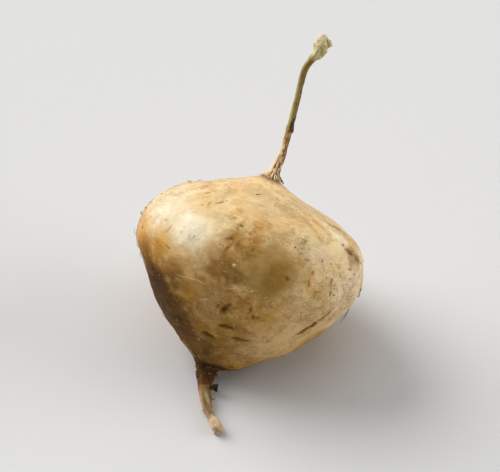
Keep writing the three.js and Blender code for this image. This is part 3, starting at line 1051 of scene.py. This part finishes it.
def ball(rings=6, sides=10):
    """A unit ball's points and faces."""
    points, numbers = [], []
    for i in range(1, rings):
        tilt = math.pi * i / rings
        numbers.append(range(len(points), len(points) + sides))
        for j in range(sides):
            turn = 2 * math.pi * j / sides
            x, y = math.sin(tilt) * math.cos(turn), math.sin(tilt) * math.sin(turn)
            points.append((x, y, math.cos(tilt)))
    top, bottom = len(points), len(points) + 1
    points += [(0, 0, 1), (0, 0, -1)]
    faces = [face[::-1] for face in rings_joined(numbers)]
    faces += [(top, a, b) for a, b in pairs(numbers[0])]
    faces += [(bottom, b, a) for a, b in pairs(numbers[-1])]
    return np.array(points), faces


def lump(build, centre, radii, tint, seed, roughness=0.25):
    """A closed lumpy ball."""
    points, faces = ball()
    points *= 1 + roughness * wander(points + 7 * seed, 0.8, 2, seed=seed)[:, None]
    build.add(centre + points * radii, faces, tint)


# The stump of a side shoot on the upper node, with a pale cut end.
shoot_foot = at(vine_line, SHOOT_AT)
shoot_way = unit(np.array(SHOOT_HEADING))
shoot_reach = np.linspace(0, SHOOT_LENGTH, 20)
shoot_line = shoot_foot + np.outer(shoot_reach, shoot_way)
shoot_turn = even_turns(SHOOT_SIDES)[None, :]
shoot_radii = SHOOT_RADIUS * (1 + 0.1 * np.sin(3 * shoot_turn + 0.5 * shoot_reach[:, None]))
shoot_radii = shoot_radii * np.interp(shoot_reach, *np.array(SHOOT_TAPER).T)[:, None]
shoot_points, shoot_faces = tube(shoot_line, shoot_radii, SHOOT_SIDES)
shoot_points += 0.22 * wander(shoot_points, 1.6, 3, seed=22)[:, None] * unit(shoot_points - shoot_foot)
shoot_out = (shoot_points - shoot_foot) @ shoot_way
vine.add(shoot_points, shoot_faces, layered(
    KNOB_GREY_GREEN,
    (0.7 * step(-0.1, -0.4, wander(shoot_points, 1.4, 2, seed=23)), STEM_OLIVE),
    (step(4.7, 5.3, shoot_out), CUT_PINK),
))

lump(vine, shoot_foot + shoot_way * 4.2, np.array((1.5, 1.5, 1.6)), KNOB_GREY_GREEN, seed=24)

# Old buds and leaf scars round the upper node: distance along the vine, turn, reach, size and colour.
BUDS = [
    (61, 190, 2.4, (1.1, 1.1, 1.5), STEM_YELLOW_GREEN),
    (64.4, 200, 2.2, (1.1, 1.0, 1.2), CUT_PINK),
    (62.8, 340, 2.8, (1.4, 1.2, 1.4), KNOB_GREY_GREEN),
    (58, 30, 2.6, (1.0, 0.7, 0.9), BARK_BROWN),
    (60, 110, 2.9, (1.2, 1.1, 1.6), KNOB_GREY_GREEN),
]
for along, turn, reach, size, hue in BUDS:
    middle = at(vine_line, along)
    lump(vine, middle + outward(turn) * reach * 0.75, np.array(size), hue, seed=int(along * 10))

vine_way = unit(vine_line[-1] - vine_line[0])
vine_piece = vine.piece("vine", stalk_material("vine_bark", vine_way, 0.5), "vine_bark")
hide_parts("vine_stub")

# ---- fibres at the foot of the vine ---------------------------------------------------------------

CROWN_SLOPE = np.array(ROOT_PROFILE[:5])  # the part of the profile round the vine


def on_crown(out, turn, above):
    """A point over the crown, at a distance out from the axis."""
    drop = np.interp(out, CROWN_SLOPE[:, 0], CROWN_SLOPE[:, 1])
    return CROWN + outward(turn) * out - AXIS * (drop - above)


def on_stem(along, turn, above):
    """A point just off the vine's bark, on the side that faces a turn round the root's axis."""
    middle = at(vine_line, along)
    heading = unit(at(vine_line, along + 0.5) - middle)
    way = unit(outward(turn) - heading * (outward(turn) @ heading))
    return middle + way * (stem_radius(along) + above)


def thread(build, points, radii, tint, sides=6):
    """A thin root or fibre through points, with its radius from the first to the last."""
    line = through(points, 5)
    shape = np.interp(np.linspace(0, 1, len(line)), np.linspace(0, 1, len(radii)), radii)
    shape = shape * (1 + 0.18 * wander(line, 1.1, 1, seed=31))
    tube_points, tube_faces = tube(line, shape, sides, twist=0.1)
    build.add(tube_points, tube_faces, tint)


# Turn round the axis, height up the stem, reach over the crown, thickness and colour of the main ones.
FIBRES = [
    (178, 8, 5.8, 0.4, BARK_PALE), (166, 6, 5, 0.34, BARK_PALE), (192, 6, 5.2, 0.34, BARK_TAN),
    (150, 10, 4.6, 0.34, BARK_PALE), (132, 8, 4.4, 0.3, BARK_PALE), (112, 10, 4.4, 0.32, BARK_BROWN),
    (95, 7, 4.8, 0.3, BARK_PALE), (70, 9, 4.5, 0.3, BARK_BROWN), (40, 6, 5, 0.34, BARK_TAN),
    (14, 4, 6, 0.4, BARK_BROWN), (2, 5, 5.4, 0.34, BARK_BROWN), (345, 5, 5, 0.32, BARK_BROWN),
    (215, 7, 5.4, 0.34, BARK_TAN), (240, 9, 4.8, 0.3, BARK_BROWN), (275, 8, 5, 0.32, BARK_TAN),
    (310, 9, 4.8, 0.32, BARK_BROWN),
]
RANDOM_FIBRES = 26
BEND_REACH = 3.7
BEND_WEIGHT = 0.4  # of BEND_REACH in the distance where a fibre bends on to the crown
FIBRE_SEED = 5
fibres = Build()
fibre_dice = random.Random(FIBRE_SEED)
for _ in range(RANDOM_FIBRES):
    hue = fibre_dice.choice((BARK_PALE, BARK_PALE, BARK_PALE, BARK_TAN, BARK_BROWN, BARK_DARK))
    FIBRES.append((
        fibre_dice.uniform(0, 360), fibre_dice.uniform(3, 13), fibre_dice.uniform(3.9, 5.2),
        fibre_dice.uniform(0.14, 0.24), hue,
    ))
for turn, up, out, thick, hue in FIBRES:
    sway = fibre_dice.uniform(-14, 14)
    lift = fibre_dice.uniform(0.1, 0.5)
    thread(fibres, [
        on_stem(up, turn + sway, -0.1),
        on_stem(up * 0.55, turn + 0.5 * sway, -0.05),
        on_stem(1.2, turn, -0.1),
        on_crown(BEND_WEIGHT * BEND_REACH + (1 - BEND_WEIGHT) * out, turn, 0.3 + thick),
        on_crown(out, turn - 0.6 * sway, lift),
    ], (0.45 * thick, thick, thick, 0.8 * thick, 0.3 * thick), hue)
fibres.piece("vine_fibres", stalk_material("fibre", AXIS, 0.62), "vine_bark")

# ---- flakes, fine roots and soil on the skin ------------------------------------------------------

tail_round = tail_degrees % 360
DEGREES_AS_ONE_STEP = 9  # turn round the tail that counts as much as one step along it


def tail_spot(along, turn):
    """The point on the tail or the neck at a distance along the root, and its normal."""
    apart = turns_apart(tail_round, turn) / DEGREES_AS_ONE_STEP
    i = int(np.argmin(((along_root - along) / TAIL_STEP) ** 2 + apart**2))
    return rough[i], smooth_normals[i]


def on_skin(below, turn):
    """The point of the rough skin at a place, with its normal and the ways round and down."""
    _, normal, around, down = spot(below, turn)
    return rough[nearest(below, turn)], normal, around, down


def headed(where, turn):
    """At a place on the skin: its point and normal, and the ways ahead and aside at a turn."""
    centre, normal, around, down = where
    ahead = around * math.cos(turn) + down * math.sin(turn)
    return centre, normal, ahead, np.cross(normal, ahead)


FLAKE_SIDES = 9
FLAKE_THICK = 0.09


def flake(where, long, wide, lift, curl, tint):
    """A thin irregular flake that curls up from the skin at one end."""
    centre, normal, ahead, aside = headed(where, flake_dice.uniform(0, 2 * math.pi))
    outline = [(math.cos(a), math.sin(a)) for a in even_turns(FLAKE_SIDES)]
    reaches = [flake_dice.uniform(0.65, 1.15) for _ in range(FLAKE_SIDES)]
    outline = np.array(outline) * np.array(reaches)[:, None]
    points, faces = [], []
    for side in (1, -1):
        for share in (1, 0.55, 0):
            ring = outline[:1] * 0 if share == 0 else outline * share
            for u, v in ring:
                up = lift * (0.5 + 0.5 * u) + curl * u * u + 0.25 * curl * v * v
                up += side * FLAKE_THICK * (1 - share * share)
                points.append(centre + ahead * u * long / 2 + aside * v * wide / 2 + normal * up)
    outer = range(FLAKE_SIDES)  # both sides share the outline
    for start in (0, len(points) // 2):
        middle = start + 2 * FLAKE_SIDES
        for (a, b), (c, d) in zip(pairs(outer), pairs(range(start + FLAKE_SIDES, middle))):
            both = [(a, b, d, c), (c, d, middle)]
            faces += [face[::-1] for face in both] if start else both
    flakes.add(points, faces, tint)


FLAKE_PALE = srgb(236, 212, 164)
FLAKE_TAN = srgb(206, 168, 112)
FLAKE_BROWN = srgb(150, 108, 58)
# Flakes given one by one, most of them on the edge of the root: place, length, width, lift, curl.
PLACED_FLAKES = [
    (15.4, 169, 2.6, 1.6, 1.6, 1), (15, 166, 2.2, 1.4, 0.9, 0.6), (29, 172, 2, 1.4, 0.9, 0.4),
    (31.5, 171, 1.6, 1.2, 0.7, 0.3), (34.5, 172, 2.2, 1.4, 0.9, 0.4), (11.2, 163, 2, 1.4, 0.9, 0.4),
    (24, 171, 1.4, 1, 0.6, 0.2), (10.5, 30, 2.4, 1.4, 0.5, 0.3), (14.5, 16, 2.2, 1.3, 0.5, 0.3),
    (33, 2, 1.6, 1.2, 0.5, 0.3), (40.2, 94, 1.6, 1.3, 0.3, 0.1), (48.2, 81, 1.4, 1.1, 0.25, 0.1),
]
RANDOM_FLAKES = 100
FLAKE_SEED = 8
flakes = Build()
flake_dice = random.Random(FLAKE_SEED)
for below, turn, *shape in PLACED_FLAKES:
    flake(on_skin(below, turn), *shape, FLAKE_PALE)
for below, turn in scattered(RANDOM_FLAKES, 8, 84, flake_dice):
    where = on_skin(below, turn)
    long = flake_dice.uniform(0.7, 2.0)
    hue = np.array(flake_dice.choice((FLAKE_PALE, FLAKE_TAN, FLAKE_TAN, FLAKE_BROWN)))
    hue = 0.4 * hue + 0.6 * tint[nearest(below, turn)]  # a flake is mostly the colour of its skin
    lift = flake_dice.uniform(0.08, 0.3)
    flake(where, long, long * flake_dice.uniform(0.4, 0.8), lift, 0.5 * lift, hue)
flakes.piece("skin_flakes", dusty_material("flake", 0.5, 0.08), "root_skin")

ROOTLET_DARK = srgb(84, 58, 26)
STUB_DARK = srgb(40, 38, 18)
ROOTLET_TAN = srgb(190, 150, 96)
ROOTLET_PALE = srgb(226, 196, 140)
ROOTLET_SEED = 21
rootlets = Build()
root_dice = random.Random(ROOTLET_SEED)


def rootlet(where, length, rise, thick, hue):
    """A fine root that leaves the skin and bends over it."""
    centre, normal, ahead, aside = headed(where, root_dice.uniform(0, 2 * math.pi))
    bend = root_dice.uniform(-0.35, 0.35)
    points = [centre - normal * 0.3]
    for share in (0.2, 0.45, 0.75, 1):
        up = rise * math.sin(math.pi * min(share, 0.8)) + 0.15 - 0.6 * (length * share) ** 2 / 100
        points.append(centre + ahead * length * share + aside * bend * length * share**2 + normal * up)
    thread(rootlets, points, (thick, thick, 0.8 * thick, 0.4 * thick), hue, sides=5)


def strand(places, thick, hue, taper=(1, 1, 0.8, 0.3)):
    """A thread through places, each with its height off the skin."""
    points = []
    for below, turn, lift in places:
        centre, normal, _, _ = on_skin(below, turn)
        points.append(centre + normal * lift)
    thread(rootlets, points, [share * thick for share in taper], hue, sides=5)


def lying(places, thick, hue):
    """A thread that lies on the skin through places."""
    lift = 0.6 * thick + 0.1
    strand([(*place, lift) for place in places], thick, hue, taper=(0.4, 1, 1, 0.4))


# Dry hairs that stand out on the right, and pale threads that lie on the front.
strand([(31.6, 2, -0.2), (33, 1.5, 0.4), (34.6, 2, 0.5), (36.2, 1, 0.2)], 0.2, ROOTLET_DARK)
strand([(33.4, 3, -0.2), (34.8, 2.5, 0.4), (36.4, 3, 0.8), (38, 3, 0.7)], 0.17, ROOTLET_DARK)
strand([(35, 1, -0.2), (36.4, 2, 0.4), (37.8, 2, 0.6)], 0.12, ROOTLET_TAN)
strand([(43.6, 7, -0.2), (45.4, 6.5, 0.5), (47.6, 7, 1.2), (50, 8, 2.2)], 0.2, ROOTLET_DARK)
strand([(45, 8, -0.2), (46.8, 7.5, 0.4), (48.8, 8, 1.0)], 0.13, ROOTLET_TAN)
lying([(53.5, 124), (52.6, 117), (52.0, 111), (52.6, 105)], 0.17, ROOTLET_PALE)
lying([(61.0, 129), (60.4, 123), (59.9, 118)], 0.11, ROOTLET_TAN)
lying([(47.5, 78), (49, 83), (49.4, 89), (51, 94)], 0.13, ROOTLET_PALE)
lying([(66, 76), (67.5, 71), (67, 65)], 0.14, ROOTLET_TAN)
RANDOM_ROOTLETS = 60
for _ in range(RANDOM_ROOTLETS):
    below = 84 * root_dice.random() ** 0.6 + 2
    where = on_skin(min(below, 85), root_dice.uniform(0, 360))
    hue = root_dice.choice((ROOTLET_DARK, ROOTLET_TAN, ROOTLET_TAN, ROOTLET_PALE))
    length = root_dice.uniform(1.5, 5)
    rootlet(where, length, root_dice.uniform(0.05, 0.5), root_dice.uniform(0.1, 0.18), hue)


def tail_root(along, turn, offsets, radii, hue, sides=8):
    """A short root that leaves the tail and goes through offsets from its foot."""
    centre, normal = tail_spot(along, turn)
    points = [centre - normal * 0.6, *(centre + np.array(offset) for offset in offsets)]
    thread(rootlets, points, radii, hue, sides)


# On the tail: a thick dark stub and two spurs on the right, a spur on the left, and frays at the end.
STUB_WAY = [(0.7, 0.2, 0.4), (1.3, 0.4, 0.7), (3.0, 0.2, 0.6)]
tail_root(101.8, 0, STUB_WAY, (0.6, 0.6, 1.6, 1.65), STUB_DARK, sides=14)
tail_root(102.6, 10, [(0.6, 0.2, 0.2), (1.2, 0.9, 0.6)], (0.45, 0.4, 0.4), TAIL_TAN)
tail_root(107.8, 5, [(0.7, 0.1, 0.3), (1.5, 0.6, 0.9)], (0.45, 0.32, 0.2), TAIL_TAN)
tail_root(112, 200, [(-0.6, -0.2, 0.2), (-1.3, -0.9, 0.1)], (0.2, 0.16, 0.08), TAIL_CREAM)
FRAYS_AT = 124.5
FRAY_CLEARANCE = 0.35  # least height of a fray's middle line above the table
for turn in range(15, 360, 30):
    centre, normal = tail_spot(FRAYS_AT, turn)
    way = unit(np.array([0.12, -1, 0.05]) + 0.35 * normal)
    long = root_dice.uniform(0.5, 1.4)
    points = [centre - normal * 0.3 - way, centre, centre + way * long * 0.6, centre + way * long]
    points = np.maximum(points, [-np.inf, -np.inf, FRAY_CLEARANCE])
    thread(rootlets, points, (0.3, 0.26, 0.18, 0.06), TAIL_CREAM)
rootlets.piece("rootlets", dusty_material("rootlet", 0.6, 0.06), "root_skin")

CRUMB_HUES = (srgb(64, 46, 26), srgb(92, 70, 42), srgb(48, 34, 18), srgb(120, 96, 62))
# The largest crumbs, at the neck: distance along the root, turn and size.
NECK_CRUMBS = [
    (93.6, 18, 1.2), (94.6, 2, 1.0), (92.8, 40, 0.9), (95.6, 22, 0.8), (100.8, 2, 0.7), (95.4, 60, 0.5),
]
SMALL_CRUMBS_AT_NECK = 46
SMALL_CRUMBS_ON_BODY = 12
SOIL_SEED = 3
crumbs = Build()
soil_dice = random.Random(SOIL_SEED)


def crumb(centre, normal, size, lift):
    """A crumb of soil, its middle lifted off the skin by a share of its size."""
    radii = np.array([size * soil_dice.uniform(0.7, 1.2) for _ in range(3)])
    hue = soil_dice.choice(CRUMB_HUES)
    lump(crumbs, centre + normal * lift * size, radii, hue, soil_dice.randrange(1000), roughness=0.4)


for along, turn, size in NECK_CRUMBS:
    crumb(*tail_spot(along, turn), size, lift=0.3)
for _ in range(SMALL_CRUMBS_AT_NECK):
    centre, normal = tail_spot(soil_dice.uniform(86, 98), soil_dice.uniform(0, 360))
    crumb(centre, normal, soil_dice.uniform(0.18, 0.45), lift=0.4)
for _ in range(SMALL_CRUMBS_ON_BODY):
    centre, normal, _, _ = on_skin(soil_dice.uniform(4, 86), soil_dice.uniform(0, 360))
    crumb(centre, normal, soil_dice.uniform(0.15, 0.34), lift=0.3)
crumbs.piece("soil_crumbs", dusty_material("soil", 0.8, 0.12), "root_skin")

# ---- camera, light and floor ----------------------------------------------------------------------

CAMERA_HEIGHT = math.radians(42)
LENS = 160
FRAME_WIDTH = 221  # of the picture at the object
TARGET_LEFT, TARGET_BELOW = 10, 26.5  # of the crown, where the middle of the picture lies
FLOOR_REACH = 12  # metres from its middle to each edge
PAPER = (0.62, 0.62, 0.62)
PAPER_ROUGHNESS = 0.9

to_camera = Vector((0, -math.cos(CAMERA_HEIGHT), math.sin(CAMERA_HEIGHT)))
up_picture = Vector((0, math.sin(CAMERA_HEIGHT), math.cos(CAMERA_HEIGHT)))
target = Vector(CROWN) + Vector((-TARGET_LEFT, 0, 0)) - TARGET_BELOW * up_picture
camera_data = bpy.data.cameras.new("camera")
camera_data.lens = LENS
camera = add_object("camera", camera_data)
distance = FRAME_WIDTH * LENS / camera_data.sensor_width
camera.location = (target + to_camera * distance) * MM
camera.rotation_euler = to_camera.to_track_quat("Z", "Y").to_euler()
bpy.context.scene.camera = camera


def soft_light(name, towards, spread, power, tone=(1, 1, 1)):
    """Even light from a broad source: its direction, the degrees that it fills, and its strength."""
    data = bpy.data.lights.new(name, "SUN")
    data.angle = math.radians(spread)
    data.energy = power
    data.color = tone
    add_object(name, data).rotation_euler = Vector(towards).to_track_quat("Z", "Y").to_euler()


soft_light("key", (-0.67, 0.44, 0.59), 50, 3.15, (1, 0.985, 0.97))
soft_light("left", (-0.8, -0.35, 0.48), 60, 0.1)
soft_light("right", (0.95, -0.03, 0.27), 50, 2.0, (0.98, 0.99, 1))
soft_light("top", (0.0, 0.25, 0.97), 80, 1.2)

# The backdrop is pale at the height of the table and dim overhead.
BACKDROP_TOP = 0.15  # sine of the height where the pale band has faded out
BACKDROP_LOW, BACKDROP_HIGH = 0.9, 0.05  # its strength at the table's height, and overhead
world = bpy.data.worlds.new("studio")
world.use_nodes = True
sky = world.node_tree
upwards = sky.nodes.new("ShaderNodeSeparateXYZ")
fade = sky.nodes.new("ShaderNodeMapRange")
sky.links.new(sky.nodes.new("ShaderNodeTexCoord").outputs["Generated"], upwards.inputs[0])
sky.links.new(upwards.outputs["Z"], fade.inputs["Value"])
fade.inputs["From Max"].default_value = BACKDROP_TOP
fade.inputs["To Min"].default_value = BACKDROP_LOW
fade.inputs["To Max"].default_value = BACKDROP_HIGH
background = sky.nodes["Background"]
background.inputs["Color"].default_value = (1, 1, 1, 1)
sky.links.new(fade.outputs["Result"], background.inputs["Strength"])
bpy.context.scene.world = world

floor_mesh = bpy.data.meshes.new("floor")
corners = [(x * FLOOR_REACH, y * FLOOR_REACH, 0) for x, y in ((-1, -1), (1, -1), (1, 1), (-1, 1))]
floor_mesh.from_pydata(corners, [], [(0, 1, 2, 3)])
floor = add_object("floor", floor_mesh)
paper = bpy.data.materials.new("paper")
paper.use_nodes = True
paper_surface = paper.node_tree.nodes["Principled BSDF"]
paper_surface.inputs["Base Color"].default_value = opaque(PAPER)
paper_surface.inputs["Roughness"].default_value = PAPER_ROUGHNESS
floor_mesh.materials.append(paper)
bpy.context.scene.view_settings.view_transform = "Standard"
